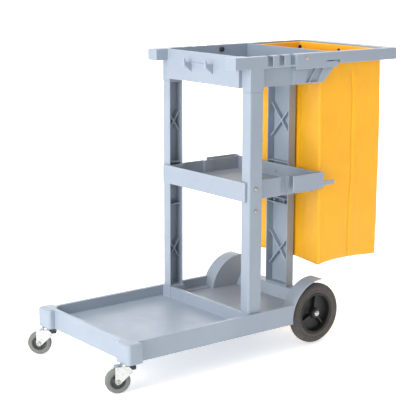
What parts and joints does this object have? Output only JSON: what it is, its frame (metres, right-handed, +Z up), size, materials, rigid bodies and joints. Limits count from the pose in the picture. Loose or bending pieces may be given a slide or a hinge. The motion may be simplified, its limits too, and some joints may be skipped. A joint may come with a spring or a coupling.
{
  "type": "housekeeping cart",
  "caption": "Plastic housekeeping cart: low platform on casters and large rear wheels, middle shelf, tool tray on top, and a vinyl bag hung open in a rear frame.",
  "frame": {"origin": "on the floor, under the middle of the overall length, on the plane that halves the deck; the right caster has swivelled until its wheel stands 9 mm outside the deck, which isn't counted", "axes": "+X from the platform end towards the bag end where the person pushes, +Y to that person's right, +Z up"},
  "size_m": [1.1622, 0.5234, 0.956],
  "materials": {
    "grey_plastic": "fine-grained moulded polypropylene, satin",
    "yellow_vinyl": "vinyl-coated woven cloth, semi-gloss",
    "black_plastic": "satin",
    "wheel_tyre": "matt rubber",
    "wheel_hub": "satin",
    "caster_tread": "matt grey thermoplastic rubber",
    "caster_core": "satin",
    "zinc_steel": "bright zinc plate"
  },
  "bodies": {
    "cart": {"base_deck": "grey_plastic", "front_post_left": "grey_plastic", "front_post_right": "grey_plastic", "rear_upright": "grey_plastic", "middle_shelf": "grey_plastic", "top_tray": "grey_plastic", "bag_frame": "grey_plastic", "vinyl_bag": "yellow_vinyl", "bag_peg_left": "black_plastic", "bag_peg_right": "black_plastic", "bag_peg_rear": "black_plastic", "post_bolt_left_1": "zinc_steel", "post_bolt_left_2": "zinc_steel", "post_bolt_right_1": "zinc_steel", "post_bolt_right_2": "zinc_steel", "arm_screw_left": "zinc_steel", "arm_nut_left": "black_plastic", "arm_screw_right": "zinc_steel", "arm_nut_right": "black_plastic", "shelf_screw": "zinc_steel", "rear_axle": "zinc_steel", "axle_cap_left": "zinc_steel", "axle_cap_right": "zinc_steel", "caster_race_left": "zinc_steel", "caster_race_right": "zinc_steel"},
    "caster_swivel_left": {"caster_fork_left": "zinc_steel", "caster_axle_left": "zinc_steel"},
    "brake_left": {"brake_lever_left": "zinc_steel", "brake_pad_left": "black_plastic"},
    "caster_wheel_left": {"caster_tread_left": "caster_tread", "caster_hub_left": "caster_core"},
    "rear_wheel_left": {"rear_tyre_left": "wheel_tyre", "rear_hub_left": "wheel_hub"},
    "caster_swivel_right": {"caster_fork_right": "zinc_steel", "caster_axle_right": "zinc_steel"},
    "brake_right": {"brake_lever_right": "zinc_steel", "brake_pad_right": "black_plastic"},
    "caster_wheel_right": {"caster_tread_right": "caster_tread", "caster_hub_right": "caster_core"},
    "rear_wheel_right": {"rear_tyre_right": "wheel_tyre", "rear_hub_right": "wheel_hub"}
  },
  "joints": [
    {"name": "caster_left_swivel", "type": "hinge", "parent": "cart", "child": "caster_swivel_left", "pos_m": [-0.52187, -0.222, 0.1], "axis": [0, 0, 1], "continuous": true},
    {"name": "caster_left_spin", "type": "hinge", "parent": "caster_swivel_left", "child": "caster_wheel_left", "pos_m": [-0.54388, -0.21243, 0.038], "axis": [-0.3987, -0.9171, 0], "continuous": true},
    {"name": "brake_left_press", "type": "hinge", "parent": "caster_swivel_left", "child": "brake_left", "pos_m": [-0.50904, -0.22758, 0.065], "axis": [0.3987, 0.9171, 0], "range_deg": [0, 12]},
    {"name": "rear_left_spin", "type": "hinge", "parent": "cart", "child": "rear_wheel_left", "pos_m": [0.24113, -0.202, 0.1], "axis": [0, 1, 0], "continuous": true},
    {"name": "caster_right_swivel", "type": "hinge", "parent": "cart", "child": "caster_swivel_right", "pos_m": [-0.52187, 0.222, 0.1], "axis": [0, 0, 1], "continuous": true},
    {"name": "caster_right_spin", "type": "hinge", "parent": "caster_swivel_right", "child": "caster_wheel_right", "pos_m": [-0.54026, 0.23743, 0.038], "axis": [-0.6428, -0.766, 0], "continuous": true},
    {"name": "brake_right_press", "type": "hinge", "parent": "caster_swivel_right", "child": "brake_right", "pos_m": [-0.51115, 0.213, 0.065], "axis": [0.6428, 0.766, 0], "range_deg": [0, 12]},
    {"name": "rear_right_spin", "type": "hinge", "parent": "cart", "child": "rear_wheel_right", "pos_m": [0.24113, 0.202, 0.1], "axis": [0, 1, 0], "continuous": true}
  ]
}
